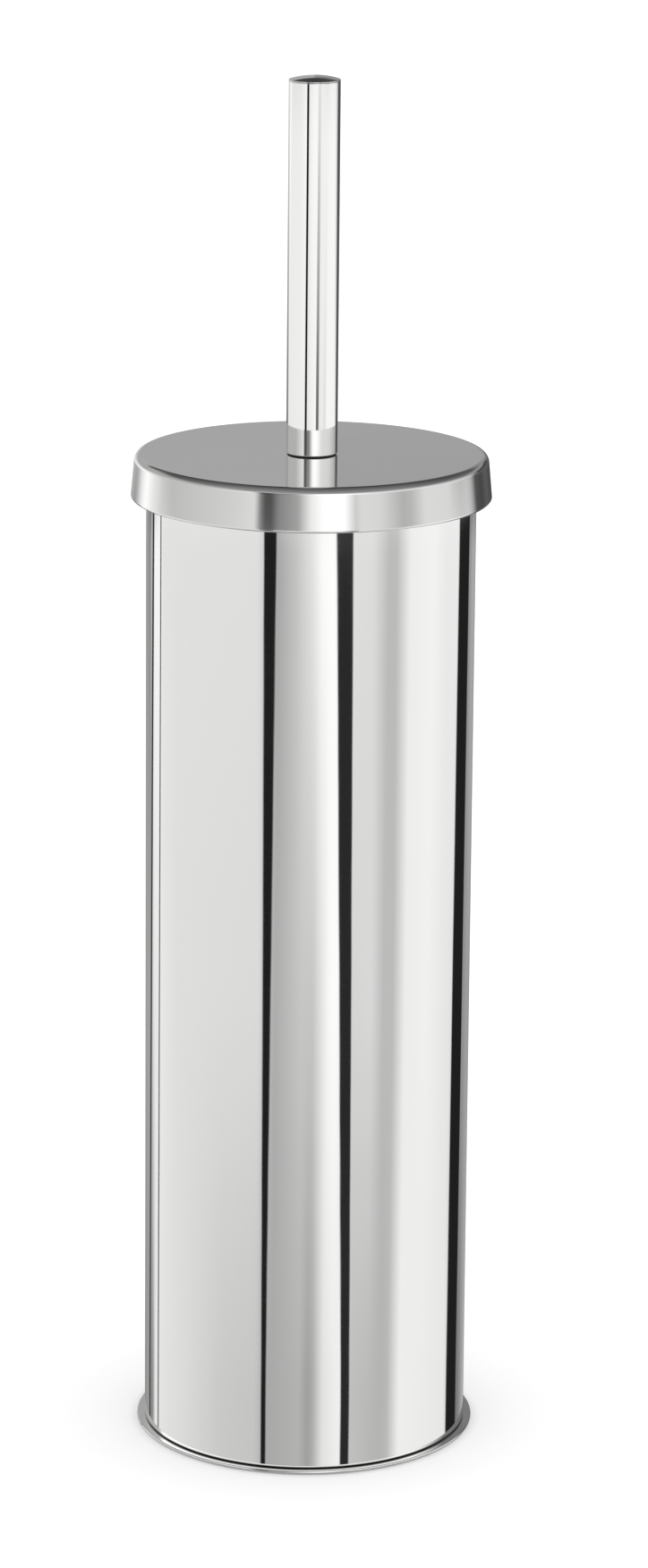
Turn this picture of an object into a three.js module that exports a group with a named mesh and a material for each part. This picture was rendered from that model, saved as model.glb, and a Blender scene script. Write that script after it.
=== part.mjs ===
// A free-standing toilet brush holder: a tall polished steel canister on a flanged base, a plastic
// liner that lifts out of it, and a brush whose round handle carries the canister's pressed lid.
// Millimetres, +Z up. The origin is the centre of the canister's foot, on the floor.
// Every piece is turned about Z. An outline is a list of [radius, height] points that runs
// counterclockwise, and starts and ends on the axis or closes on itself.

import * as THREE from "three";

// Driving dimensions.
const totalHeight = 380;
const lidDiameter = 98.5;
const lidTop = 277;
const tubeDiameter = 90;
const handleDiameter = 14;
const stemDiameter = 10;
const brushDiameter = 74;
const sheet = 0.5; // steel sheet of the canister
const lidSheet = 0.6; // steel sheet of the lid, and the wall of the handle and the stem
const linerWall = 1.2;
const touch = 0.1; // gap between two faces that rest on each other
const slide = 0.3; // gap around a piece that turns or drops in

// Facets around a full turn.
const wideFacets = 48;
const slimFacets = 32;

const materials = {
  polishedSteel: new THREE.MeshStandardMaterial({ color: 0xd8d9dc, roughness: 0.05, metalness: 1 }),
  turnedSteel: new THREE.MeshStandardMaterial({ color: 0xb9bcc0, roughness: 0.3, metalness: 1 }),
  liner: new THREE.MeshStandardMaterial({ color: 0xe9eae8, roughness: 0.45, metalness: 0 }),
  blackNylon: new THREE.MeshStandardMaterial({ color: 0x17171a, roughness: 0.5, metalness: 0 }),
  rubber: new THREE.MeshStandardMaterial({ color: 0x202022, roughness: 0.85, metalness: 0 }),
  brushCore: new THREE.MeshStandardMaterial({ color: 0xf1f1ee, roughness: 0.4, metalness: 0 }),
  bristles: new THREE.MeshStandardMaterial({ color: 0xf6f6f4, roughness: 0.6, metalness: 0 }),
};

// Points of an arc about [r, z], from one angle to another in degrees, where 0 points outwards and 90 up.
function arc([r, z], radius, from, to, steps = 4) {
  return Array.from({ length: steps + 1 }, (_, i) => {
    const angle = THREE.MathUtils.degToRad(from + ((to - from) * i) / steps);
    return [r + radius * Math.cos(angle), z + radius * Math.sin(angle)];
  });
}

// The outline with its first point repeated, for a ring that doesn't reach the axis.
function ring(outline) {
  return [...outline, outline[0]];
}

// A plain washer or sleeve.
function sleeve(inner, outer, bottom, top) {
  return ring([[inner, bottom], [outer, bottom], [outer, top], [inner, top]]);
}

function turned(name, outline, material, facets) {
  const points = outline.map(([r, z]) => new THREE.Vector2(Math.max(r, 0), z));
  const geometry = new THREE.LatheGeometry(points, facets);
  geometry.rotateX(Math.PI / 2); // three.js turns about Y
  const mesh = new THREE.Mesh(geometry, material);
  mesh.name = name;
  return mesh;
}

// ---- Canister: foot ring, base plate and tube ----

const tubeRadius = tubeDiameter / 2;
const tubeBore = tubeRadius - sheet;
const base = {
  flangeWidth: 2.2, // outside the tube
  flangeUnderside: 0.6, // the foot ring holds the flange off the floor
  wallGap: 0.2, // between the raised middle and the tube
  panelUnderside: 5,
};
base.flangeRadius = tubeRadius + base.flangeWidth;
base.wallRadius = tubeBore - base.wallGap;
base.wallBore = base.wallRadius - sheet;
base.flangeTop = base.flangeUnderside + sheet;
base.panelTop = base.panelUnderside + sheet;
const linerRimTop = lidTop - lidSheet - touch;
const linerRimThickness = 1.3;
const tubeTop = linerRimTop - linerRimThickness - touch;

function footRing() {
  const width = 5.5;
  const outer = base.wallBore - slide;
  return turned(
    "foot_ring",
    sleeve(outer - width, outer, 0, base.panelUnderside - touch),
    materials.rubber,
    wideFacets,
  );
}

// A pressed plate: a raised middle that plugs the tube's foot, and a flat flange that the tube stands on.
function basePlate() {
  const { flangeRadius, flangeUnderside, flangeTop, wallRadius, wallBore, panelUnderside, panelTop } = base;
  const bend = 0.8;
  const outline = [
    [0, panelUnderside],
    [wallBore, panelUnderside],
    [wallBore, flangeUnderside],
    [flangeRadius, flangeUnderside],
    [flangeRadius, flangeTop],
    [wallRadius, flangeTop],
    ...arc([wallRadius - bend, panelTop - bend], bend, 0, 90, 3),
    [0, panelTop],
  ];
  return turned("base_plate", outline, materials.polishedSteel, wideFacets);
}

// Rolled sheet, with a hem folded in at the top.
function outerTube() {
  const bottom = base.flangeTop + touch / 2;
  const hem = { depth: 5, thickness: 1.1, round: 0.4 };
  const hemBore = tubeRadius - hem.thickness;
  const outline = ring([
    [tubeBore, bottom],
    [tubeRadius, bottom],
    ...arc([tubeRadius - hem.round, tubeTop - hem.round], hem.round, 0, 90, 2),
    ...arc([hemBore + hem.round, tubeTop - hem.round], hem.round, 90, 180, 2),
    [hemBore, tubeTop - hem.depth],
    [tubeBore, tubeTop - hem.depth - hem.round],
  ]);
  return turned("outer_tube", outline, materials.polishedSteel, wideFacets);
}

// ---- Liner: a drip cup the full height of the tube, hooked over the tube's top edge ----

const liner = {
  floorUnderside: 10.5,
  bottomRadius: 41.2,
  topRadius: 43.3,
  cornerRadius: 3,
  hookBore: tubeRadius + 0.35,
  hookRadius: tubeRadius + 1.5,
  hookDepth: 5.8,
};

function linerCup() {
  const { floorUnderside, bottomRadius, topRadius, cornerRadius, hookBore, hookRadius, hookDepth } = liner;
  const floor = floorUnderside + linerWall;
  const rimUnderside = linerRimTop - linerRimThickness;
  const hookBottom = linerRimTop - hookDepth;
  const round = 1;
  const outline = [
    [0, floorUnderside],
    ...arc([bottomRadius - cornerRadius, floorUnderside + cornerRadius], cornerRadius, -90, 0, 3),
    [topRadius, rimUnderside],
    [hookBore, rimUnderside],
    [hookBore, hookBottom],
    [hookRadius, hookBottom],
    ...arc([hookRadius - round, linerRimTop - round], round, 0, 90, 2),
    ...arc([topRadius - linerWall + round, linerRimTop - round], round, 90, 180, 2),
    ...arc(
      [bottomRadius - cornerRadius, floor + cornerRadius - linerWall],
      cornerRadius - linerWall,
      0,
      -90,
      3,
    ),
    [0, floor],
  ];
  return turned("liner_cup", outline, materials.liner, wideFacets);
}

// ---- Lid: a pressed disc with a skirt, free to turn on a nylon bush ----

const spigotRadius = 4; // of the stem's top plug, which the bush turns on
const bush = { bore: spigotRadius + slide, radius: 5.3, flangeRadius: 6.7, flange: 0.2 };
bush.bottom = lidTop - lidSheet;
bush.top = lidTop + touch / 2 + bush.flange;

function lid() {
  const skirt = { radius: lidDiameter / 2, flare: 1.1, bottom: 265 };
  const hem = { depth: 3.4, radius: 0.6, step: 0.3 };
  const shoulder = { radius: skirt.radius - skirt.flare, round: 2 };
  const holeRadius = bush.radius + slide;
  const plateRadius = shoulder.radius - shoulder.round;
  const hemCentre = [skirt.radius - hem.radius, skirt.bottom + hem.radius];
  const hemBore = skirt.radius - 2 * hem.radius;
  const outline = ring([
    ...arc(hemCentre, hem.radius, -180, 0, 6),
    ...arc([plateRadius, lidTop - shoulder.round], shoulder.round, 0, 90),
    [holeRadius, lidTop],
    [holeRadius, lidTop - lidSheet],
    ...arc([plateRadius, lidTop - shoulder.round], shoulder.round - lidSheet, 90, 0, 3),
    [hemBore + hem.step, skirt.bottom + hem.depth],
    [hemBore, skirt.bottom + hem.depth - hem.step],
  ]);
  return turned("lid", outline, materials.polishedSteel, wideFacets);
}

function lidBush() {
  const outline = ring([
    [bush.bore, bush.bottom],
    [bush.radius, bush.bottom],
    [bush.radius, bush.top - bush.flange],
    [bush.flangeRadius, bush.top - bush.flange],
    [bush.flangeRadius, bush.top],
    [bush.bore, bush.top],
  ]);
  return turned("lid_bush", outline, materials.blackNylon, slimFacets);
}

// ---- Handle: a steel tube with a threaded insert at its foot and a domed cap on top ----

const handleRadius = handleDiameter / 2;
const handleBore = handleRadius - lidSheet;
const handlePlugRadius = handleBore - touch; // of the cap and the insert, pressed into the tube
const handleFoot = bush.top + touch / 2;
const cap = { dome: 1, edge: 0.3, plugDepth: 7, chamfer: 0.6 };
const handleTop = totalHeight - cap.dome - cap.edge - touch / 2;
const thread = { radius: 2.8, bore: 2.95, upperEnd: 290, lowerEnd: 265, chamfer: 0.6, spare: 1 };

function handleTube() {
  const outline = sleeve(handleBore, handleRadius, handleFoot, handleTop);
  return turned("handle_tube", outline, materials.polishedSteel, slimFacets);
}

function handleCap() {
  const plugBottom = handleTop - cap.plugDepth;
  const edgeTop = totalHeight - cap.dome;
  const domeRadius = (handleRadius ** 2 + cap.dome ** 2) / (2 * cap.dome);
  const edgeAngle = THREE.MathUtils.radToDeg(Math.acos(handleRadius / domeRadius));
  const outline = [
    [0, plugBottom],
    [handlePlugRadius - cap.chamfer, plugBottom],
    [handlePlugRadius, plugBottom + cap.chamfer],
    [handlePlugRadius, handleTop + touch / 2],
    [handleRadius, handleTop + touch / 2],
    [handleRadius, edgeTop],
    ...arc([0, totalHeight - domeRadius], domeRadius, edgeAngle, 90, 5).slice(1),
  ];
  return turned("handle_cap", outline, materials.polishedSteel, slimFacets);
}

function handleInsert() {
  const endWall = 2;
  const boreTop = thread.upperEnd + thread.spare;
  const top = boreTop + endWall;
  const outline = [
    [0, boreTop],
    [thread.bore, boreTop],
    [thread.bore, handleFoot],
    [handlePlugRadius, handleFoot],
    [handlePlugRadius, top],
    [0, top],
  ];
  return turned("handle_insert", outline, materials.turnedSteel, slimFacets);
}

// The screw that joins the handle to the stem through the lid.
function handleStud() {
  const { radius, lowerEnd, upperEnd, chamfer } = thread;
  const outline = [
    [0, lowerEnd],
    [radius - chamfer, lowerEnd],
    [radius, lowerEnd + chamfer],
    [radius, upperEnd - chamfer],
    [radius - chamfer, upperEnd],
    [0, upperEnd],
  ];
  return turned("handle_stud", outline, materials.turnedSteel, slimFacets);
}

// ---- Stem: a thinner tube with a plug in each end ----

const stemRadius = stemDiameter / 2;
const stemBore = stemRadius - lidSheet;
const stemPlugRadius = stemBore - touch / 2; // of the plugs pressed into both ends
const washer = { radius: 9.5, thickness: 0.7, top: lidTop - lidSheet - touch };
washer.bottom = washer.top - washer.thickness;
const plugFlange = { radius: 8.5, thickness: 1.2, top: washer.bottom - touch };
plugFlange.bottom = plugFlange.top - plugFlange.thickness;
const stemTop = plugFlange.bottom - touch;
const stemBottom = 98;

function lidWasher() {
  const outline = sleeve(bush.bore, washer.radius, washer.bottom, washer.top);
  return turned("lid_washer", outline, materials.blackNylon, slimFacets);
}

// Pressed into the stem's top. Its flange carries the lid, and its spigot meets the handle's insert.
function stemPlug() {
  const endWall = 1.5;
  const boreBottom = thread.lowerEnd - thread.spare / 2;
  const bottom = boreBottom - endWall;
  const outline = [
    [0, bottom],
    [stemPlugRadius, bottom],
    [stemPlugRadius, plugFlange.bottom],
    [plugFlange.radius, plugFlange.bottom],
    [plugFlange.radius, plugFlange.top],
    [spigotRadius, plugFlange.top],
    [spigotRadius, handleFoot - touch / 2],
    [thread.bore, handleFoot - touch / 2],
    [thread.bore, boreBottom],
    [0, boreBottom],
  ];
  return turned("stem_plug", outline, materials.turnedSteel, slimFacets);
}

function stemTube() {
  const outline = sleeve(stemBore, stemRadius, stemBottom, stemTop);
  return turned("stem_tube", outline, materials.polishedSteel, slimFacets);
}

// Pressed into the stem's foot, with the threaded end that the brush head screws onto.
const headThread = { radius: 3.9, bore: 4.1, length: 19, chamfer: 0.8, spare: 1 };

function stemTip() {
  const { radius, chamfer, length } = headThread;
  const plugLength = 12;
  const bottom = stemBottom - length;
  const top = stemBottom + plugLength;
  const outline = [
    [0, bottom],
    [radius - chamfer, bottom],
    [radius, bottom + chamfer],
    [radius, stemBottom],
    [stemPlugRadius, stemBottom],
    [stemPlugRadius, top],
    [0, top],
  ];
  return turned("stem_tip", outline, materials.turnedSteel, slimFacets);
}

// ---- Brush head: a moulded core and ten rows of bristles ----

const core = { radius: 10.5, bottomCentre: 38.5, barrelTop: 89, neckRadius: 7.5, neckHeight: 3 };

function headCore() {
  const top = stemBottom - touch;
  const socketBottom = stemBottom - headThread.length - headThread.spare;
  const outline = [
    ...arc([0, core.bottomCentre], core.radius, -90, 0, 6),
    [core.radius, core.barrelTop],
    [core.neckRadius, top - core.neckHeight],
    [core.neckRadius, top],
    [headThread.bore, top],
    [headThread.bore, socketBottom],
    [0, socketBottom],
  ];
  return turned("head_core", outline, materials.brushCore, slimFacets);
}

const bristle = {
  root: core.radius + slide,
  tip: brushDiameter / 2,
  depth: 21, // how far the end bristles reach below the centre of the core's round end
  sideRows: 7,
  sideBottom: core.bottomCentre + 0.1, // where the lowest side row's pitch starts
  pitch: 7.2,
  rootHalf: 2,
  tipHalf: 3.45,
  endFans: [[-3, -30], [-32.5, -60]], // angles of the two rows that slant down
  crownFrom: -63,
};

// A row that stands straight out from the side of the core.
function sideRow(index) {
  const { root, tip, rootHalf, tipHalf, sideBottom, pitch } = bristle;
  const z = sideBottom + (index + 0.5) * pitch;
  return ring([[root, z - rootHalf], [tip, z - tipHalf], [tip, z + tipHalf], [root, z + rootHalf]]);
}

// The tips of the slanting rows lie on a flattened round end.
function endTip(degrees) {
  const angle = THREE.MathUtils.degToRad(degrees);
  const length = 1 / Math.hypot(Math.cos(angle) / bristle.tip, Math.sin(angle) / bristle.depth);
  return [length * Math.cos(angle), core.bottomCentre + length * Math.sin(angle)];
}

function endFan([upper, lower]) {
  const steps = 4;
  const tips = Array.from({ length: steps + 1 }, (_, i) => endTip(lower + ((upper - lower) * i) / steps));
  return ring([...tips, ...arc([0, core.bottomCentre], bristle.root, upper, lower, 3)]);
}

// The tuft at the very end, below the core.
function endCrown() {
  const { crownFrom, root } = bristle;
  const steps = 4;
  const tips = Array.from({ length: steps + 1 }, (_, i) => endTip(-90 + ((crownFrom + 90) * i) / steps));
  return [...tips, ...arc([0, core.bottomCentre], root, crownFrom, -90, 3)];
}

function bristleRows() {
  const outlines = [
    ...Array.from({ length: bristle.sideRows }, (_, i) => sideRow(bristle.sideRows - 1 - i)),
    ...bristle.endFans.map(endFan),
    endCrown(),
  ];
  return outlines.map((outline, i) =>
    turned(`bristle_row_${String(i + 1).padStart(2, "0")}`, outline, materials.bristles, slimFacets),
  );
}

// ---- Assembly ----

function group(...meshes) {
  return new THREE.Group().add(...meshes);
}

const canister = group(footRing(), basePlate(), outerTube());
const linerBody = group(linerCup());
const lidBody = group(lid(), lidBush());
const brush = group(
  handleTube(),
  handleCap(),
  handleInsert(),
  handleStud(),
  lidWasher(),
  stemPlug(),
  stemTube(),
  stemTip(),
  headCore(),
  ...bristleRows(),
);

const holder = group(canister, linerBody, lidBody, brush);
export default holder;
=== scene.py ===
"""The looks of a mirror-polished toilet brush holder: fine meshes, bristles, materials and a studio.

Every piece is turned about Z, like its CAD node, and takes its place and outer size from that node's box.
Outlines are in millimetres, as lists of [radius, height] points that run counterclockwise.
"""

import math
import random

import bpy
from mathutils import Matrix, Vector


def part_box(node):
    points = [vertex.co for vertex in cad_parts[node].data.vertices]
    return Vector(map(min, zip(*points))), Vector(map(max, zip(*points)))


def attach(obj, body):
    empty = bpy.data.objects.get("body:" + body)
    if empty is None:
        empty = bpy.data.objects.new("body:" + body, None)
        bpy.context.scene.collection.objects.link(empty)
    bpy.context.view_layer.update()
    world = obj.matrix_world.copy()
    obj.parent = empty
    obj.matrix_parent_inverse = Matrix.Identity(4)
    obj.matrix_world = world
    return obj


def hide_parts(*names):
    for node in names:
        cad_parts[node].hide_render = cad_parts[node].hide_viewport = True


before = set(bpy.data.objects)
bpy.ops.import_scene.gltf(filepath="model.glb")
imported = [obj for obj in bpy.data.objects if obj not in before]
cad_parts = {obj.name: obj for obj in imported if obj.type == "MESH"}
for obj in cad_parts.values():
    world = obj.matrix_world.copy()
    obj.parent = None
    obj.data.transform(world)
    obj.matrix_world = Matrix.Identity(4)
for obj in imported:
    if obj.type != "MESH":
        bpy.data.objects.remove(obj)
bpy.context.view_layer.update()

MM = 0.001
UP, DOWN, OUT = 90, -90, 0  # directions in an outline, in degrees
WHITE = (1, 1, 1)

SHEET = 0.5  # steel sheet of the canister
LID_SHEET = 0.6  # steel sheet of the lid, and the wall of the handle and the stem
LINER_WALL = 1.2
TOUCH = 0.1  # gap between two faces that rest on each other

SMOOTH = 256  # facets around the pieces that show
INNER = 96  # facets around the pieces inside
LONGEST_STRAIGHT = 12
THREAD_STEPS = 6  # points of an outline in one pitch of a thread
NEAR = 1e-6


# ---- The camera and the studio ----

CAMERA_DISTANCE = 1.463
CAMERA_HEIGHT = 0.567
CAMERA_PITCH = math.radians(13.03)  # below the horizon
CAMERA_YAW = math.radians(0.147)  # to the right of the object
CAMERA_ROLL = math.radians(0.5)
CAMERA_LENS = 125.9  # in mm, on a 36 mm sensor
CAMERA_SHIFT = -0.1

DAYLIGHT = 1.14  # even light on everything that doesn't reflect the tent
FLOOR_WHITE = 0.88
FLOOR_GLOW = 0.17  # painted light: the floor glows, which lifts the object's shadow, so it throws only a faint one
FLOOR_REACH = 20  # from the object to the floor's edge, in metres
STEEL_WHITE = 0.83  # how much light the steel reflects, which the tent makes up for


def add_camera():
    ahead = Vector(
        (
            math.sin(CAMERA_YAW) * math.cos(CAMERA_PITCH),
            math.cos(CAMERA_YAW) * math.cos(CAMERA_PITCH),
            -math.sin(CAMERA_PITCH),
        )
    )
    right = ahead.cross(Vector((0, 0, 1))).normalized()
    up = right.cross(ahead)
    turn = Matrix((right, up, -ahead)).transposed().to_4x4()
    camera = bpy.data.objects.new("camera", bpy.data.cameras.new("camera"))
    place = Matrix.Translation((0, -CAMERA_DISTANCE, CAMERA_HEIGHT))
    camera.matrix_world = place @ turn @ Matrix.Rotation(CAMERA_ROLL, 4, "Z")
    camera.data.lens = CAMERA_LENS
    camera.data.shift_y = CAMERA_SHIFT
    camera.data.clip_end = 2 * FLOOR_REACH
    bpy.context.scene.collection.objects.link(camera)
    bpy.context.scene.camera = camera


class Graph:
    """Short ways to add shader nodes to a tree. An input is a node, a socket, a number or a colour."""

    def __init__(self, tree):
        self.tree = tree
        tree.nodes.clear()

    def add(self, kind, inputs=None, **settings):
        node = self.tree.nodes.new(kind)
        for name, value in settings.items():
            setattr(node, name, value)
        for key, value in (inputs or {}).items():
            self.put(node.inputs[key], value)
        return node

    def put(self, socket, value):
        if isinstance(value, bpy.types.NodeSocket):
            self.tree.links.new(value, socket)
        elif isinstance(value, bpy.types.Node):
            self.tree.links.new(value.outputs[0], socket)
        elif socket.type == "RGBA":
            socket.default_value = (*value, 1)
        else:
            socket.default_value = value

    def math(self, operation, *values, clamp=False):
        return self.add("ShaderNodeMath", dict(enumerate(values)), operation=operation, use_clamp=clamp)

    def vector(self, operation, *values):
        return self.add("ShaderNodeVectorMath", dict(enumerate(values)), operation=operation)

    def fit(self, value, low, high, to_low=0.0, to_high=1.0, smooth=False):
        """The value, mapped from one range onto another and held at the ends."""
        return self.add(
            "ShaderNodeMapRange",
            {0: value, 1: low, 2: high, 3: to_low, 4: to_high},
            interpolation_type="SMOOTHSTEP" if smooth else "LINEAR",
            clamp=True,
        )

    def mix(self, share, first, second):
        """Between two plain numbers."""
        return self.add("ShaderNodeMix", {0: share, 2: first, 3: second}, data_type="FLOAT")

    def mix_color(self, share, first, second):
        node = self.add("ShaderNodeMix", {0: share, 6: first, 7: second}, data_type="RGBA")
        return node.outputs[2]

    def ramp(self, value, stops):
        """stops are (place, grey) pairs."""
        node = self.add("ShaderNodeValToRGB", {0: value})
        elements = node.color_ramp.elements
        while len(elements) > 1:
            elements.remove(elements[0])
        for i, (place, grey) in enumerate(stops):
            element = elements[0] if i == 0 else elements.new(place)
            element.position = place
            element.color = (grey, grey, grey, 1)
        return node.outputs[0]


def linear(level):
    """Light from a display level of 0 to 255."""
    c = level / 255
    return c / 12.92 if c <= 0.04045 else ((c + 0.055) / 1.055) ** 2.4


def azimuth_place(degrees):
    """Where a direction is on an azimuth ramp: 0 and 1 are straight behind the object, 0.5 the front."""
    return (degrees + 180) / 360


# What the polished steel reflects, as rings of a light tent around the object. Each ring is an elevation in
# degrees and its (azimuth, display level) pairs, where azimuth 0 is the front and 90 the object's right.
TENT_RINGS = [
    (-75, [(-180, 110), (180, 110)]),
    (-50, [(-180, 200), (-60, 195), (-10, 235), (60, 230), (180, 200)]),
    (-32, [(-180, 120), (-145, 120), (-138, 215), (-60, 200), (-20, 170), (0, 165), (14, 215),
           (26, 235), (50, 180), (72, 230), (120, 225), (143, 110), (180, 140)]),
    (-21, [(-180, 120), (-155, 150), (-146, 125), (-141, 150), (-137, 228), (-97, 218), (-62, 200),
           (-36, 196), (-26, 168), (-4, 178), (2, 158), (6, 170), (13, 225), (25, 240), (33, 190),
           (57, 178), (62, 184), (72, 238), (120, 230), (143, 110), (163, 165), (180, 150)]),
    (-17, [(-180, 138), (-153, 158), (-148, 140), (-141, 225), (-131, 232), (-105, 221), (-35, 218),
           (-23, 172), (-4, 198), (4, 197), (15, 248), (20, 253), (32, 213), (46, 216), (55, 187),
           (63, 187), (73, 236), (93, 240), (122, 226), (146, 140), (155, 152), (180, 138)]),
    (-12.2, [(-180, 130), (-160, 150), (-152, 130), (-140, 243), (-131, 243), (-126, 224), (-37, 222),
             (-22, 166), (-10, 194), (1, 225), (8, 252), (16, 255), (32, 221), (44, 219), (56, 186),
             (62, 186), (74, 237), (96, 242), (110, 232), (125, 233), (147, 140), (158, 165),
             (180, 130)]),
    (-11, [(-180, 200), (-156, 120), (-152, 60), (-143, 60), (-130, 232), (-39, 238), (-22, 224),
           (-14, 236), (16, 244), (32, 226), (40, 235), (50, 234), (58, 218), (68, 246), (124, 243),
           (130, 150), (140, 70), (180, 70)]),
    (-8, [(-180, 228), (-156, 188), (-148, 196), (-130, 255), (-120, 236), (-60, 238), (-38, 246),
          (-24, 232), (-2, 248), (22, 248), (34, 240), (106, 249), (119, 220), (130, 78), (140, 68),
          (152, 95), (165, 70), (180, 60)]),
    (-5, [(-180, 210), (-132, 245), (-110, 190), (-100, 186), (-60, 202), (-36, 225), (36, 225),
          (50, 200), (60, 177), (66, 183), (78, 218), (98, 213), (110, 174), (124, 165), (129, 90),
          (180, 80)]),
    (-1.7, [(-180, 190), (-132, 250), (-113, 208), (-101, 190), (-50, 205), (-36, 215), (-32, 120),
            (-29, 76), (-25, 80), (-20, 132), (-8, 160), (0, 232), (8, 256), (21, 256), (28, 202),
            (32, 215), (44, 212), (60, 175), (66, 181), (76, 214), (104, 214), (123, 199), (129, 90)]),
    (10.5, [(-180, 158), (-139, 157), (-128, 186), (-76, 186), (-39, 238), (-35, 190), (-32, 35),
            (-26, 42), (-22, 116), (-12, 138), (-5, 210), (6, 275), (20, 275), (44, 232), (82, 226),
            (120, 186), (128, 165), (137, 60), (160, 60), (172, 154), (180, 158)]),
    (16, [(-180, 165), (-130, 160), (-60, 180), (-20, 170), (-5, 150), (8, 220), (50, 200),
          (80, 185), (130, 150), (180, 130)]),
    (19, [(-180, 165), (-130, 160), (-60, 190), (-20, 180), (8, 230), (50, 200), (80, 185),
          (130, 150), (180, 118)]),
    (21.5, [(-180, 140), (-178, 165), (-130, 172), (-60, 172), (-20, 165), (8, 195), (50, 190),
            (85, 180), (120, 125), (178, 112), (180, 140)]),
    (25, [(-180, 62), (-156, 90), (-143, 165), (-127, 172), (-115, 160), (-60, 158), (-20, 145),
          (20, 155), (60, 150), (150, 90), (180, 62)]),
    (38, [(-180, 52), (-120, 90), (-60, 137), (20, 134), (60, 130), (120, 90), (180, 52)]),
    (68, [(-180, 74), (-60, 112), (60, 112), (180, 74)]),
    (85, [(-180, 92), (180, 92)]),
]

# A strip around one elevation that only a second reflection sees. It whitens the flange, which reflects the
# tube.
STRIP_ELEVATION = 21.5
STRIP_HALF, STRIP_FADED = 1.2, 2.5  # degrees from its middle
SECOND_DEPTH = 1.5  # a ray's glossy depth is above this from its second reflection on
STRIP = [(-180, 140), (-178, 165), (-130, 190), (-121, 285), (85, 285), (105, 200), (120, 125),
         (178, 112), (180, 140)]

# Dark uprights in the tent. Each has its azimuth and its half width at LOW_ELEVATION and at HIGH_ELEVATION,
# its display level, the softness of its edges and the two elevations between which it fades out.
LOW_ELEVATION, HIGH_ELEVATION = -20.7, -11.5
UPRIGHTS = [
    ((-29.3, -28.0), (1.8, 4.7), 30, 0.7, (-6.0, -2.0)),
    ((29.2, 23.2), (3.2, 6.0), 40, 0.6, (-12.5, -5.5)),
    ((133.2, 136.8), (9.0, 9.8), 30, 0.9, (-11.9, -11.3)),
    ((-149.8, -143.4), (1.5, 2.1), 44, 0.6, (-11.9, -11.3)),
    ((-131.3, -129.2), (1.0, 0.9), 66, 0.5, (-11.9, -11.3)),
]


def add_ring(graph, place, stops):
    """Levels of light around the object, from pairs of an azimuth and a display level."""
    return graph.ramp(place, [(azimuth_place(a), linear(level)) for a, level in stops])


def add_tent(graph, path):
    """The light that the steel reflects, as a number."""
    direction = graph.add("ShaderNodeTexCoord").outputs["Generated"]
    x, y, z = graph.add("ShaderNodeSeparateXYZ", {0: direction}).outputs
    azimuth = graph.math("DEGREES", graph.math("ARCTAN2", x, graph.math("MULTIPLY", y, -1.0)))
    elevation = graph.math("DEGREES", graph.math("ARCSINE", z))
    place = graph.fit(azimuth, -180.0, 180.0)
    heights, rings = [], []
    for height, stops in TENT_RINGS:
        heights.append(float(height))
        rings.append(add_ring(graph, place, stops))
    light = rings[0]
    for below, above, ring in zip(heights, heights[1:], rings[1:]):
        light = graph.mix_color(graph.fit(elevation, below, above), light, ring)
    off = graph.math("ABSOLUTE", graph.math("SUBTRACT", elevation, STRIP_ELEVATION))
    second = graph.math("GREATER_THAN", path.outputs["Glossy Depth"], SECOND_DEPTH)
    shown = graph.math("MULTIPLY", graph.fit(off, STRIP_HALF, STRIP_FADED, 1.0, 0.0), second)
    light = graph.mix_color(shown, light, add_ring(graph, place, STRIP))
    for (low, high), (thin, thick), level, soft, (keep, gone) in UPRIGHTS:
        centre = graph.fit(elevation, LOW_ELEVATION, HIGH_ELEVATION, low, high)
        half = graph.fit(elevation, LOW_ELEVATION, HIGH_ELEVATION, thin, thick)
        off = graph.math("ABSOLUTE", graph.math("SUBTRACT", azimuth, centre))
        inside = graph.fit(graph.math("SUBTRACT", off, half), -soft, soft, 1.0, 0.0, smooth=True)
        shown = graph.fit(elevation, keep, gone, 1.0, 0.0, smooth=True)
        light = graph.mix(graph.math("MULTIPLY", inside, shown), light, linear(level))
    return graph.math("DIVIDE", light, STEEL_WHITE)


def add_world():
    """A white backdrop for the camera, the light tent for gloss, and even daylight for the rest."""
    world = bpy.data.worlds.new("studio")
    bpy.context.scene.world = world
    world.use_nodes = True
    graph = Graph(world.node_tree)
    path = graph.add("ShaderNodeLightPath")
    tent = graph.add("ShaderNodeBackground", {"Color": WHITE, "Strength": add_tent(graph, path)})
    soft = graph.add("ShaderNodeBackground", {"Color": WHITE, "Strength": DAYLIGHT})
    floor_level = FLOOR_WHITE * DAYLIGHT + FLOOR_GLOW
    backdrop = graph.add("ShaderNodeBackground", {"Color": WHITE, "Strength": floor_level})
    lit = graph.add("ShaderNodeMixShader", {0: path.outputs["Is Glossy Ray"], 1: soft, 2: tent})
    seen = graph.add("ShaderNodeMixShader", {0: path.outputs["Is Camera Ray"], 1: lit, 2: backdrop})
    graph.add("ShaderNodeOutputWorld", {0: seen})


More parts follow.
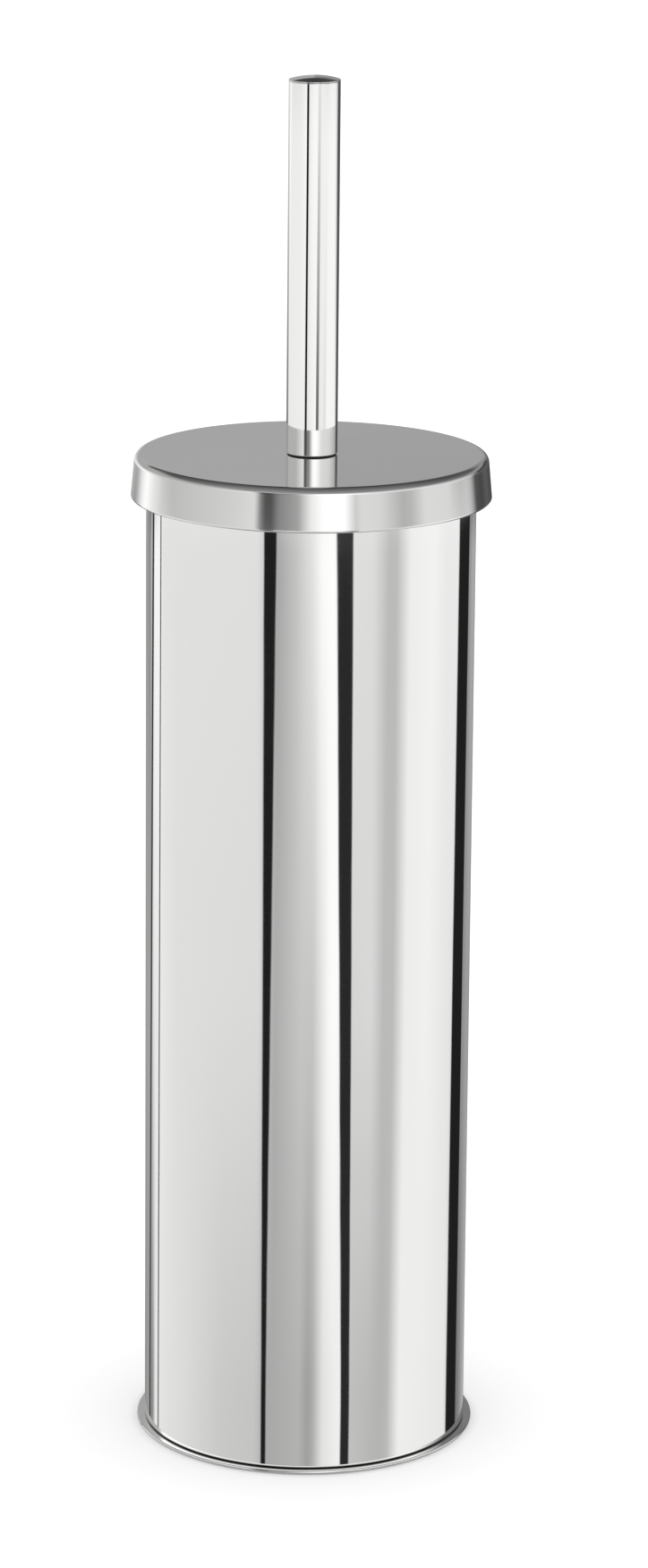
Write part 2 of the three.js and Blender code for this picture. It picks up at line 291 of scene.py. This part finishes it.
def add_floor():
    """White paper with painted light: it glows from just outside the object's foot, which lifts the
    object's shadow.
    """
    signs = [(-1, -1), (1, -1), (1, 1), (-1, 1)]
    mesh = bpy.data.meshes.new("floor")
    mesh.from_pydata([(x * FLOOR_REACH, y * FLOOR_REACH, 0) for x, y in signs], [], [(0, 1, 2, 3)])
    floor = bpy.data.objects.new("floor", mesh)
    bpy.context.scene.collection.objects.link(floor)
    material, graph = new_material("floor")
    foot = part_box("base_plate")[1].x
    # Painted light: no glow under the flange, full glow from 2.3 mm beyond its edge, so shade stays only
    # under the foot.
    shown = graph.fit(axis_distance(graph), foot - 0.7 * MM, foot + 2.3 * MM, 0.0, FLOOR_GLOW)
    paper = graph.add("ShaderNodeBsdfDiffuse", {"Color": (FLOOR_WHITE, FLOOR_WHITE, FLOOR_WHITE)})
    glow = graph.add("ShaderNodeEmission", {"Color": WHITE, "Strength": shown})
    graph.add("ShaderNodeOutputMaterial", {0: graph.add("ShaderNodeAddShader", {0: paper, 1: glow})})
    mesh.materials.append(material)
    floor.visible_glossy = False


# ---- Materials ----


def new_material(name):
    material = bpy.data.materials.new(name)
    material.use_nodes = True
    return material, Graph(material.node_tree)


def finish_material(graph, inputs, height=None, distance=0.0):
    """A principled surface, with an optional bump whose height is in units of distance, in metres."""
    if height is not None:
        inputs["Normal"] = graph.add("ShaderNodeBump", {"Distance": distance, "Height": height})
    shader = graph.add("ShaderNodeBsdfPrincipled", inputs)
    graph.add("ShaderNodeOutputMaterial", {0: shader})


def noise(graph, scale, stretch=(1, 1, 1), detail=2.0):
    """Noise in object space, from 0 to 1. A larger stretch packs it tighter along that axis."""
    place = graph.add("ShaderNodeTexCoord").outputs["Object"]
    placed = graph.vector("MULTIPLY", place, tuple(float(s) for s in stretch))
    node = graph.add("ShaderNodeTexNoise", {"Vector": placed, "Scale": float(scale), "Detail": detail})
    return node.outputs["Fac"]


def axis_distance(graph):
    """Distance from the object's upright axis, in metres."""
    place = graph.add("ShaderNodeTexCoord").outputs["Object"]
    flat = graph.vector("MULTIPLY", place, (1.0, 1.0, 0.0))
    return graph.add("ShaderNodeVectorMath", {0: flat}, operation="LENGTH").outputs["Value"]


def height_above(graph):
    """Height above the floor, in metres."""
    place = graph.add("ShaderNodeTexCoord").outputs["Object"]
    return graph.add("ShaderNodeSeparateXYZ", {0: place}).outputs["Z"]


def polished_steel(name, dull_radius=None, seam=None):
    """Buffed stainless sheet: slow waves from rolling, and hairlines that run around it.

    Nearer to the axis than dull_radius it keeps its unpolished mill finish. seam is the height of a foot
    that stands in a crevice; just above it the colour is darkened as painted shade for the crevice's
    shadow.
    """
    material, graph = new_material(name)
    waves = noise(graph, 22, detail=1.0)
    hairlines = noise(graph, 60, stretch=(1, 1, 70), detail=3.0)
    smudges = noise(graph, 45, stretch=(1, 1, 0.6), detail=4.0)
    tint = graph.mix_color(smudges, (0.822, 0.823, 0.818), (0.846, 0.842, 0.836))
    haze = graph.fit(smudges, 0.3, 0.75, 0.025, 0.05)
    scratches = graph.fit(hairlines, 0.45, 0.8, 0.0, 0.015)
    roughness = graph.math("ADD", haze, scratches)
    metallic = 1.0
    if seam is not None:
        # Painted shade: nearly black colour just above the foot, fading out 0.8 mm up, for the crevice's
        # shadow.
        clear_of_painted_seam_shade = graph.fit(height_above(graph), seam + 0.15 * MM, seam + 0.8 * MM)
        tint = graph.mix_color(clear_of_painted_seam_shade, (0.08, 0.08, 0.08), tint)
    if dull_radius is not None:
        polished = graph.fit(axis_distance(graph), dull_radius - 0.1 * MM, dull_radius)
        tint = graph.mix_color(polished, (0.46, 0.465, 0.475), tint)
        roughness = graph.mix(polished, graph.fit(hairlines, 0.3, 0.7, 0.36, 0.5), roughness)
        metallic = graph.fit(polished, 0.0, 1.0, 0.45, 1.0)
    inputs = {"Base Color": tint, "Metallic": metallic, "Roughness": roughness}
    finish_material(graph, inputs, waves, 0.06 * MM)
    return material


def turned_steel():
    """Machined steel, with the fine grooves of a lathe tool."""
    material, graph = new_material("turned_steel")
    groove_width = 0.18 * MM
    travel = graph.math("ADD", axis_distance(graph), height_above(graph))
    grooves = graph.math("SINE", graph.math("MULTIPLY", travel, 2 * math.pi / groove_width))
    stain = noise(graph, 260, detail=3.0)
    tint = graph.mix_color(stain, (0.50, 0.51, 0.53), (0.64, 0.64, 0.65))
    roughness = graph.fit(stain, 0.3, 0.7, 0.24, 0.38)
    inputs = {"Base Color": tint, "Metallic": 1.0, "Roughness": roughness}
    finish_material(graph, inputs, grooves, 0.006 * MM)
    return material


def moulded(name, dark, light, roughness, grain, depth):
    """Moulded plastic or rubber: a little uneven in colour, with a fine grain."""
    material, graph = new_material(name)
    clouds = noise(graph, 40, detail=3.0)
    texture = noise(graph, grain, detail=2.0)
    tint = graph.mix_color(clouds, dark, light)
    rough = graph.fit(texture, 0.3, 0.7, roughness - 0.05, roughness + 0.05)
    finish_material(graph, {"Base Color": tint, "Roughness": rough, "IOR": 1.5}, texture, depth)
    return material


def bristle_fibre():
    """White nylon filament, a little translucent, and greyed towards the core by painted shade."""
    material, graph = new_material("bristle_fibre")
    clouds = noise(graph, 900, detail=2.0)
    # Painted shade: the filaments are darker near the core, where they crowd each other, and white at the
    # tips.
    outwards = graph.fit(axis_distance(graph), 12 * MM, 34 * MM)
    root = graph.mix_color(clouds, (0.58, 0.59, 0.58), (0.66, 0.67, 0.66))
    tip = graph.mix_color(clouds, (0.83, 0.835, 0.82), (0.92, 0.92, 0.91))
    inputs = {
        "Base Color": graph.mix_color(outwards, root, tip),
        "Roughness": graph.fit(clouds, 0.3, 0.7, 0.38, 0.5),
        "IOR": 1.53,
        "Subsurface Weight": 0.15,
        "Subsurface Scale": MM,
    }
    finish_material(graph, inputs)
    return material


bpy.context.scene.view_settings.view_transform = "Standard"
add_camera()
add_world()
add_floor()

STEEL = polished_steel("polished_steel")
TURNED = turned_steel()
LINER = moulded("liner_plastic", (0.60, 0.61, 0.605), (0.655, 0.66, 0.65), 0.42, 1800, 0.01 * MM)
NYLON = moulded("black_nylon", (0.012, 0.012, 0.014), (0.026, 0.026, 0.029), 0.45, 2600, 0.012 * MM)
RUBBER = moulded("foot_rubber", (0.020, 0.020, 0.021), (0.035, 0.035, 0.036), 0.78, 2200, 0.03 * MM)
CORE = moulded("core_plastic", (0.71, 0.71, 0.69), (0.77, 0.77, 0.75), 0.30, 1500, 0.008 * MM)
FIBRE = bristle_fibre()


# ---- Turned pieces ----


def extent(node):
    """Outer radius, lowest and highest point of a CAD node, in millimetres."""
    low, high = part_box(node)
    return high.x / MM, low.z / MM, high.z / MM


def arc(centre, radius, start, end, steps=8):
    """Points of an arc, between two directions in degrees."""
    turns = [math.radians(start + (end - start) * i / steps) for i in range(steps + 1)]
    return [[centre[0] + radius * math.cos(t), centre[1] + radius * math.sin(t)] for t in turns]


def rounded(corners, closed=True, steps=6):
    """An outline through corners, each (radius, height) or (radius, height, rounding)."""
    points = []
    count = len(corners)
    for i, (r, z, *rounding) in enumerate(corners):
        here = Vector((r, z))
        if not rounding or (not closed and i in (0, count - 1)):
            points.append([r, z])
            continue
        before = (Vector(corners[i - 1][:2]) - here).normalized()
        after = (Vector(corners[(i + 1) % count][:2]) - here).normalized()
        half = before.angle(after) / 2
        reach = rounding[0] / math.tan(half)
        centre = here + (before + after).normalized() * (rounding[0] / math.sin(half))
        start, end = here + before * reach - centre, here + after * reach - centre
        first = math.atan2(start.y, start.x)
        sweep = (math.atan2(end.y, end.x) - first + math.pi) % (2 * math.pi) - math.pi
        for k in range(steps + 1):
            t = first + sweep * k / steps
            points.append([centre.x + rounding[0] * math.cos(t), centre.y + rounding[0] * math.sin(t)])
    return points


def supported(points, closed, longest):
    """The outline with extra points along its straights.

    The first and the last of them are close to the corners, so a mirror's shading stays flat between them.
    """
    margin = 0.12
    shortest = 6 * margin
    result = []
    count = len(points)
    for i in range(count if closed else count - 1):
        a, b = Vector(points[i]), Vector(points[(i + 1) % count])
        length = (b - a).length
        result.append(tuple(a))
        if length < shortest:
            continue
        inner = length - 2 * margin
        pieces = max(1, math.ceil(inner / longest))
        steps = [margin + inner * k / pieces for k in range(pieces + 1)]
        result += [tuple(a.lerp(b, s / length)) for s in steps]
    if not closed:
        result.append(tuple(points[-1]))
    return result


def threaded(radius, height, turn, thread):
    """The radius at a height and a share of a turn. A thread is its (pitch, depth, crest radius)."""
    pitch, depth, crest = thread
    if abs(radius - crest) > NEAR:
        return radius
    phase = (height / pitch - turn) % 1
    return radius - depth * abs(2 * phase - 1)


def turned(name, outline, material, body, facets=SMOOTH, closed=True, sharp=40, thread=None):
    """A solid of revolution that stands for the CAD node of that name.

    An open outline starts and ends on the axis. Its points at the thread's crest radius wind into a screw
    thread.
    """
    points = supported(outline, closed, thread[0] / THREAD_STEPS if thread else LONGEST_STRAIGHT)
    vertices, rings = [], []
    for r, z in points:
        first = len(vertices)
        if r < NEAR:
            vertices.append((0, 0, z * MM))
            rings.append([first])
            continue
        for k in range(facets):
            angle = 2 * math.pi * k / facets
            radius = threaded(r, z, k / facets, thread) if thread else r
            vertices.append((radius * math.cos(angle) * MM, radius * math.sin(angle) * MM, z * MM))
        rings.append(range(first, first + facets))
    faces = []
    for low, high in zip(rings, rings[1:] + rings[:1] if closed else rings[1:]):
        for k in range(facets):
            after = (k + 1) % facets
            if len(low) == 1:
                faces.append((low[0], high[after], high[k]))
            elif len(high) == 1:
                faces.append((low[k], low[after], high[0]))
            else:
                faces.append((low[k], low[after], high[after], high[k]))
    return add_piece(name, vertices, faces, material, body, sharp)


def add_piece(node, vertices, faces, material, body, sharp):
    mesh = bpy.data.meshes.new(node)
    mesh.from_pydata(vertices, [], faces)
    mesh.polygons.foreach_set("use_smooth", [True] * len(mesh.polygons))
    mesh.set_sharp_from_angle(angle=math.radians(sharp))
    mesh.materials.append(material)
    piece = bpy.data.objects.new(node + "_fine", mesh)
    bpy.context.scene.collection.objects.link(piece)
    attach(piece, body)
    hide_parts(node)
    return piece


# The canister: foot ring, base plate and tube.

TUBE_RADIUS, tube_bottom, tube_top = extent("outer_tube")
TUBE_BORE = TUBE_RADIUS - SHEET


def add_foot_ring():
    """A rubber ring with three grooves under it."""
    outer, bottom, top = extent("foot_ring")
    width = 5.5
    groove_depth, groove_floor, groove_mouth = 0.5, 0.2, 0.45  # the last two are half widths
    inner = outer - width
    corners = [(inner, bottom, 0.4)]
    for share in (0.25, 0.5, 0.75):
        r = inner + width * share
        corners += [
            (r - groove_mouth, bottom),
            (r - groove_floor, bottom + groove_depth),
            (r + groove_floor, bottom + groove_depth),
            (r + groove_mouth, bottom),
        ]
    corners += [(outer, bottom, 0.4), (outer, top, 0.3), (inner, top, 0.3)]
    turned("foot_ring", rounded(corners), RUBBER, "canister", sharp=30)


def add_base_plate():
    """A pressed plate: a raised middle that plugs the tube's foot, and a flange that the tube stands on."""
    flange, bottom, top = extent("base_plate")
    wall = TUBE_BORE - 0.2
    edge, edge_slant = 0.16, 0.14
    bead = [(27, 0), (28.8, 1), (31.2, 1), (33, 0)]  # radius and depth of a stiffening bead in the panel
    corners = [
        (0, top - SHEET),
        *((r, top - SHEET - depth, 1.5) for r, depth in bead),
        (wall - SHEET, top - SHEET, 0.6),
        (wall - SHEET, bottom, 0.3),
        (flange, bottom, edge),
        (flange - edge_slant, bottom + SHEET, edge),
        (wall, bottom + SHEET, 0.1),
        (wall, top, 1.1),
        *((r, top - depth, 1.5) for r, depth in reversed(bead)),
        (0, top),
    ]
    outline = rounded(corners, closed=False)
    steel = polished_steel("base_steel", dull_radius=(wall - 0.05) * MM)
    turned("base_plate", outline, steel, "canister", closed=False)


def add_outer_tube():
    """Rolled sheet, with a hem folded in at the top."""
    hem, hem_depth, hem_step = 1.1, 5, 0.4
    corners = [
        (TUBE_BORE, tube_bottom, 0.15),
        (TUBE_RADIUS, tube_bottom, 0.3),
        (TUBE_RADIUS, tube_top, 0.5),
        (TUBE_RADIUS - hem, tube_top, 0.5),
        (TUBE_RADIUS - hem, tube_top - hem_depth, 0.2),
        (TUBE_BORE, tube_top - hem_depth - hem_step, 0.1),
    ]
    # The tube's foot gets a painted shade where it stands in the crevice on the flange.
    steel = polished_steel("tube_steel", dull_radius=(TUBE_BORE + 0.15) * MM, seam=tube_bottom * MM)
    turned("outer_tube", rounded(corners), steel, "canister")


# The liner.


def add_liner():
    """A tall cup with a hollow under its floor, hooked over the tube's edge."""
    hook, bottom, top = extent("liner_cup")
    mouth, foot, rim = 43.3, 41.2, 1.3
    hook_bore, hook_bottom = TUBE_RADIUS + 0.35, top - 5.8
    hollow, hollow_depth = foot - 8, 0.6
    corners = [
        (0, bottom + hollow_depth),
        (hollow, bottom + hollow_depth, 0.4),
        (hollow + hollow_depth, bottom, 0.3),
        (foot, bottom, 3),
        (mouth, top - rim, 0.3),
        (hook_bore, top - rim, 0.3),
        (hook_bore, hook_bottom, 0.3),
        (hook, hook_bottom, 0.3),
        (hook, top, 1),
        (mouth - LINER_WALL, top, 1),
        (foot - LINER_WALL, bottom + LINER_WALL, 1.8),
        (0, bottom + LINER_WALL),
    ]
    turned("liner_cup", rounded(corners, closed=False), LINER, "liner", closed=False)


# The lid and its bush.

lid_radius, lid_bottom, lid_top = extent("lid")
bush_flange, bush_bottom, bush_top = extent("lid_bush")
BUSH_RADIUS = 5.3
SPIGOT_RADIUS = 4.0
BUSH_BORE = SPIGOT_RADIUS + 0.3


def add_lid():
    """A pressed disc whose skirt flares a little and ends in a rolled hem."""
    flare, bend = 1.1, 2
    hem, hem_depth, hem_step = 0.6, 3.4, 0.3
    hem_round = hem - 0.01
    shoulder = lid_radius - flare
    hem_bore = lid_radius - 2 * hem
    hole = BUSH_RADIUS + 0.15
    corners = [
        (lid_radius, lid_bottom, hem_round),
        (shoulder, lid_top, bend),
        (hole, lid_top, 0.1),
        (hole, lid_top - LID_SHEET, 0.1),
        (shoulder - LID_SHEET, lid_top - LID_SHEET, bend - LID_SHEET),
        (hem_bore + hem_step, lid_bottom + hem_depth, 0.1),
        (hem_bore, lid_bottom + hem_depth - hem_step, 0.1),
        (hem_bore, lid_bottom, hem_round),
    ]
    turned("lid", rounded(corners, steps=12), STEEL, "lid")


def add_lid_bush():
    """A nylon sleeve in the lid's hole, with a thin flange that shows under the handle."""
    seat = lid_top + 0.03
    corners = [
        (BUSH_BORE, bush_bottom, 0.1),
        (BUSH_RADIUS, bush_bottom, 0.15),
        (BUSH_RADIUS, seat),
        (bush_flange, seat, 0.07),
        (bush_flange, bush_top, 0.1),
        (BUSH_BORE, bush_top, 0.05),
    ]
    turned("lid_bush", rounded(corners), NYLON, "lid", INNER)


# The brush: handle and stem.

handle_radius, handle_foot, handle_end = extent("handle_tube")
stem_radius, stem_bottom, stem_top = extent("stem_tube")
washer_radius, washer_bottom, washer_top = extent("lid_washer")
HANDLE_BORE = handle_radius - LID_SHEET
STEM_BORE = stem_radius - LID_SHEET
STUD_BORE = 2.95  # tapped hole for the stud, in the handle's insert and in the stem's plug
FINE_PITCH, COARSE_PITCH = 1.0, 1.25  # of the stud's thread, and of the thread that holds the brush head


def add_handle():
    corners = [
        (HANDLE_BORE, handle_foot, 0.15),
        (handle_radius, handle_foot, 0.15),
        (handle_radius, handle_end, 0.12),
        (HANDLE_BORE, handle_end, 0.12),
    ]
    turned("handle_tube", rounded(corners), STEEL, "brush")


def add_handle_cap():
    """A shallow dome, with a plug that is pressed into the handle."""
    outer, bottom, top = extent("handle_cap")
    dome, corner = 1.0, 0.15
    edge = handle_end + TOUCH / 2
    plug = HANDLE_BORE - TOUCH
    sphere = (outer**2 + dome**2) / (2 * dome)
    rim = math.degrees(math.acos((outer - corner) / sphere))
    corners = [
        (0, bottom),
        (plug, bottom, 0.6),
        (plug, edge, 0.1),
        (outer, edge, 0.1),
        (outer, top - dome, 0.1),
        (0, top),
    ]
    below_dome = rounded(corners, closed=False)[:-1]
    outline = below_dome + arc((0, top - sphere), sphere, rim, UP, 24)
    turned("handle_cap", outline, STEEL, "brush", closed=False)


def add_handle_insert():
    """A plug in the handle's foot, tapped for the stud."""
    outer, bottom, top = extent("handle_insert")
    end_wall = 2
    corners = [
        (0, top - end_wall),
        (STUD_BORE, top - end_wall, 0.3),
        (STUD_BORE, bottom, 0.4),
        (outer, bottom, 0.3),
        (outer, top, 0.5),
        (0, top),
    ]
    outline = rounded(corners, closed=False)
    turned("handle_insert", outline, TURNED, "brush", INNER, closed=False)


def add_handle_stud():
    """A length of threaded rod, chamfered at both ends."""
    radius, bottom, top = extent("handle_stud")
    depth, chamfer = 0.5, 0.6
    outline = [
        (0, bottom),
        (radius - chamfer, bottom),
        (radius, bottom + chamfer),
        (radius, top - chamfer),
        (radius - chamfer, top),
        (0, top),
    ]
    thread = (FINE_PITCH, depth, radius)
    turned("handle_stud", outline, TURNED, "brush", INNER, closed=False, thread=thread)


def add_lid_washer():
    corners = [
        (BUSH_BORE, washer_bottom, 0.1),
        (washer_radius, washer_bottom, 0.25),
        (washer_radius, washer_top, 0.25),
        (BUSH_BORE, washer_top, 0.1),
    ]
    turned("lid_washer", rounded(corners), NYLON, "brush", INNER)


def add_stem_plug():
    """The flanged plug in the stem's top, which carries the lid and takes the stud."""
    flange, bottom, top = extent("stem_plug")
    flange_bottom, flange_top = stem_top + TOUCH, washer_bottom - TOUCH
    plug = STEM_BORE - TOUCH / 2
    end_wall = 1.5
    corners = [
        (0, bottom),
        (plug, bottom, 0.5),
        (plug, flange_bottom),
        (flange, flange_bottom, 0.35),
        (flange, flange_top, 0.35),
        (SPIGOT_RADIUS, flange_top, 0.1),
        (SPIGOT_RADIUS, top, 0.15),
        (STUD_BORE, top, 0.2),
        (STUD_BORE, bottom + end_wall, 0.3),
        (0, bottom + end_wall),
    ]
    outline = rounded(corners, closed=False)
    turned("stem_plug", outline, TURNED, "brush", INNER, closed=False)


def add_stem_tube():
    corners = [
        (STEM_BORE, stem_bottom, 0.12),
        (stem_radius, stem_bottom, 0.2),
        (stem_radius, stem_top, 0.2),
        (STEM_BORE, stem_top, 0.12),
    ]
    turned("stem_tube", rounded(corners), STEEL, "brush", INNER)


def add_stem_tip():
    """The threaded end that the brush head screws onto, with a relief groove where the thread runs out."""
    plug, bottom, top = extent("stem_tip")
    screw = plug - 0.45
    depth, chamfer = 0.62, 0.8
    relief, relief_slant = 1.6, 0.3
    corners = [
        (0, bottom),
        (screw - chamfer, bottom),
        (screw, bottom + chamfer),
        (screw, stem_bottom - relief),
        (screw - depth, stem_bottom - relief + relief_slant),
        (screw - depth, stem_bottom),
        (plug, stem_bottom),
        (plug, top, 0.4),
        (0, top),
    ]
    outline = rounded(corners, closed=False)
    thread = (COARSE_PITCH, depth, screw)
    turned("stem_tip", outline, TURNED, "brush", INNER, closed=False, thread=thread)


# The brush head: a moulded core, and tufts of crimped nylon in rings.

CORE_RADIUS, core_bottom, core_top = extent("head_core")
CORE_CENTRE = core_bottom + CORE_RADIUS  # of its round end
BRUSH_RADIUS = extent("bristle_row_01")[0]
BRUSH_DEPTH = CORE_CENTRE - extent("bristle_row_10")[1]  # how far the end tufts reach below that centre
SIDE_ROWS = 7
SIDE_TUFTS, SIDE_FILAMENTS = 15, 52
END_ROWS = [  # highest and lowest angle of the tips, tufts, filaments in each tuft, shift in tufts
    (-3, -30, 14, 50, 0.5),
    (-32.5, -60, 9, 52, 0),
    (-63, -90, 4, 60, 0),
]


def add_head_core():
    """A round-ended barrel with a socket for the stem's thread and a groove around its neck."""
    barrel_top = 89
    neck, groove = 7.5, 7.0  # radii
    cone_share = 0.35  # how far out from the neck the cone under it ends
    cone = neck + (CORE_RADIUS - neck) * cone_share
    mouth_low, mouth_high = core_top - 5, core_top - 2.2
    floor_low, floor_high = core_top - 4.2, core_top - 2.6
    socket, socket_bottom = 4.1, extent("stem_tip")[1] - 1
    corners = [
        (CORE_RADIUS, CORE_CENTRE),
        (CORE_RADIUS, barrel_top, 1.2),
        (cone, mouth_low, 0.6),
        (groove, floor_low, 0.4),
        (groove, floor_high, 0.3),
        (neck, mouth_high, 0.3),
        (neck, core_top, 0.5),
        (socket, core_top, 0.4),
        (socket, socket_bottom, 0.3),
        (0, socket_bottom),
    ]
    round_end = arc((0, CORE_CENTRE), CORE_RADIUS, DOWN, OUT, 24)[:-1]
    outline = round_end + rounded(corners, closed=False)
    turned("head_core", outline, CORE, "brush", INNER, closed=False)


def polar(radius, height, azimuth):
    return Vector((radius * math.cos(azimuth), radius * math.sin(azimuth), height))


def end_point(degrees):
    """Radius and height of a tip on the brush's flattened round end."""
    angle = math.radians(degrees)
    reach = 1 / math.hypot(math.cos(angle) / BRUSH_RADIUS, math.sin(angle) / BRUSH_DEPTH)
    return reach * math.cos(angle), CORE_CENTRE + reach * math.sin(angle)


class Tufts:
    """The filaments of one row, gathered into one mesh."""

    SIDES = 3
    STEPS = 10
    THICKNESS, TAPER = 0.24, 0.05  # radius of a filament's root, and how much of it is gone at the tip
    CRIMP_LENGTH = 7.5
    CRIMP_HEIGHT = (0.22, 0.4)
    CRIMP_RISE = 3  # the crimp reaches its full height after a third of the filament
    LONGEST_BOW = 0.9
    LONGEST_TRIM = 0.025  # as a share of the tip's distance
    ROOT_SPREAD = 1.35  # radius of a tuft where it leaves the core
    SUNK = 0.7  # how deep the filaments start inside the core

    def __init__(self, seed):
        self.random = random.Random(seed)
        self.vertices = []
        self.faces = []

    def filament(self, root, tip):
        """A tapered thread from root to tip, crimped into waves and bowed a little."""
        draw = self.random.uniform
        along = tip - root
        turn = Matrix.Rotation(draw(0, 2 * math.pi), 3, along.normalized())
        side = turn @ along.orthogonal().normalized()
        across = along.cross(side).normalized()
        bow = draw(0, self.LONGEST_BOW)
        crimp = draw(*self.CRIMP_HEIGHT)
        start = draw(0, 2 * math.pi)
        waves = 2 * math.pi * along.length / self.CRIMP_LENGTH
        first = len(self.vertices)
        for i in range(self.STEPS + 1):
            t = i / self.STEPS
            wave = crimp * min(1, self.CRIMP_RISE * t) * math.sin(start + waves * t)
            centre = root + along * t + side * wave + across * bow * 4 * t * (1 - t)
            thickness = self.THICKNESS - self.TAPER * t
            for k in range(self.SIDES):
                angle = 2 * math.pi * k / self.SIDES
                point = centre + (side * math.cos(angle) + across * math.sin(angle)) * thickness
                self.vertices.append(point * MM)
        for i in range(self.STEPS):
            low = first + i * self.SIDES
            for k in range(self.SIDES):
                after = (k + 1) % self.SIDES
                self.faces.append((low + k, low + after, low + after + self.SIDES, low + k + self.SIDES))
        last = first + self.STEPS * self.SIDES
        self.faces.append(tuple(first + k for k in reversed(range(self.SIDES))))
        self.faces.append(tuple(last + k for k in range(self.SIDES)))

    def tuft(self, azimuth, width, root_degrees, root_height, tip_at, filaments):
        """A tuft that fans out. tip_at turns a share from -1 to 1 into a tip's radius and height."""
        draw = self.random.uniform
        root_angle = math.radians(root_degrees)
        normal = polar(math.cos(root_angle), math.sin(root_angle), azimuth)
        middle = normal * (CORE_RADIUS - self.SUNK) + Vector((0, 0, root_height))
        sideways = Vector((-math.sin(azimuth), math.cos(azimuth), 0))
        upwards = normal.cross(sideways)
        for _ in range(filaments):
            across, share = draw(-1, 1), draw(-1, 1)
            squeeze = self.ROOT_SPREAD / max(1, math.hypot(across, share))
            root = middle + sideways * across * squeeze - upwards * share * squeeze
            radius, height = tip_at(share)
            trim = 1 - draw(0, self.LONGEST_TRIM)
            tip = polar(radius, height - root_height, azimuth + across * width) * trim
            self.filament(root, tip + Vector((0, 0, root_height)))


def add_bristle_row(row, tufts, filaments, shift, root_degrees, root_height, tip_at):
    """A ring of tufts, turned by shift times the distance between two of them."""
    made = Tufts(row)
    for k in range(tufts):
        azimuth = 2 * math.pi * (k + shift) / tufts
        made.tuft(azimuth, math.pi / tufts, root_degrees, root_height, tip_at, filaments)
    node = f"bristle_row_{row + 1:02d}"
    add_piece(node, made.vertices, made.faces, FIBRE, "brush", sharp=60)


def add_side_rows():
    """Rows that stand straight out, each turned by half a tuft from the next."""
    for row in range(SIDE_ROWS):
        radius, low, high = extent(f"bristle_row_{row + 1:02d}")
        middle, half = (low + high) / 2, (high - low) / 2
        shift = row % 2 / 2
        add_bristle_row(
            row,
            SIDE_TUFTS,
            SIDE_FILAMENTS,
            shift,
            0,
            middle,
            lambda share: (radius, middle + share * half),
        )


def add_end_rows():
    """Two rows that slant down around the round end, and a crown below it."""
    for row, (highest, lowest, tufts, filaments, shift) in enumerate(END_ROWS, SIDE_ROWS):
        middle, half = (highest + lowest) / 2, (highest - lowest) / 2
        add_bristle_row(
            row,
            tufts,
            filaments,
            shift,
            middle,
            CORE_CENTRE,
            lambda share: end_point(middle + share * half),
        )


for build in (
    add_foot_ring,
    add_base_plate,
    add_outer_tube,
    add_liner,
    add_lid,
    add_lid_bush,
    add_handle,
    add_handle_cap,
    add_handle_insert,
    add_handle_stud,
    add_lid_washer,
    add_stem_plug,
    add_stem_tube,
    add_stem_tip,
    add_head_core,
    add_side_rows,
    add_end_rows,
):
    build()
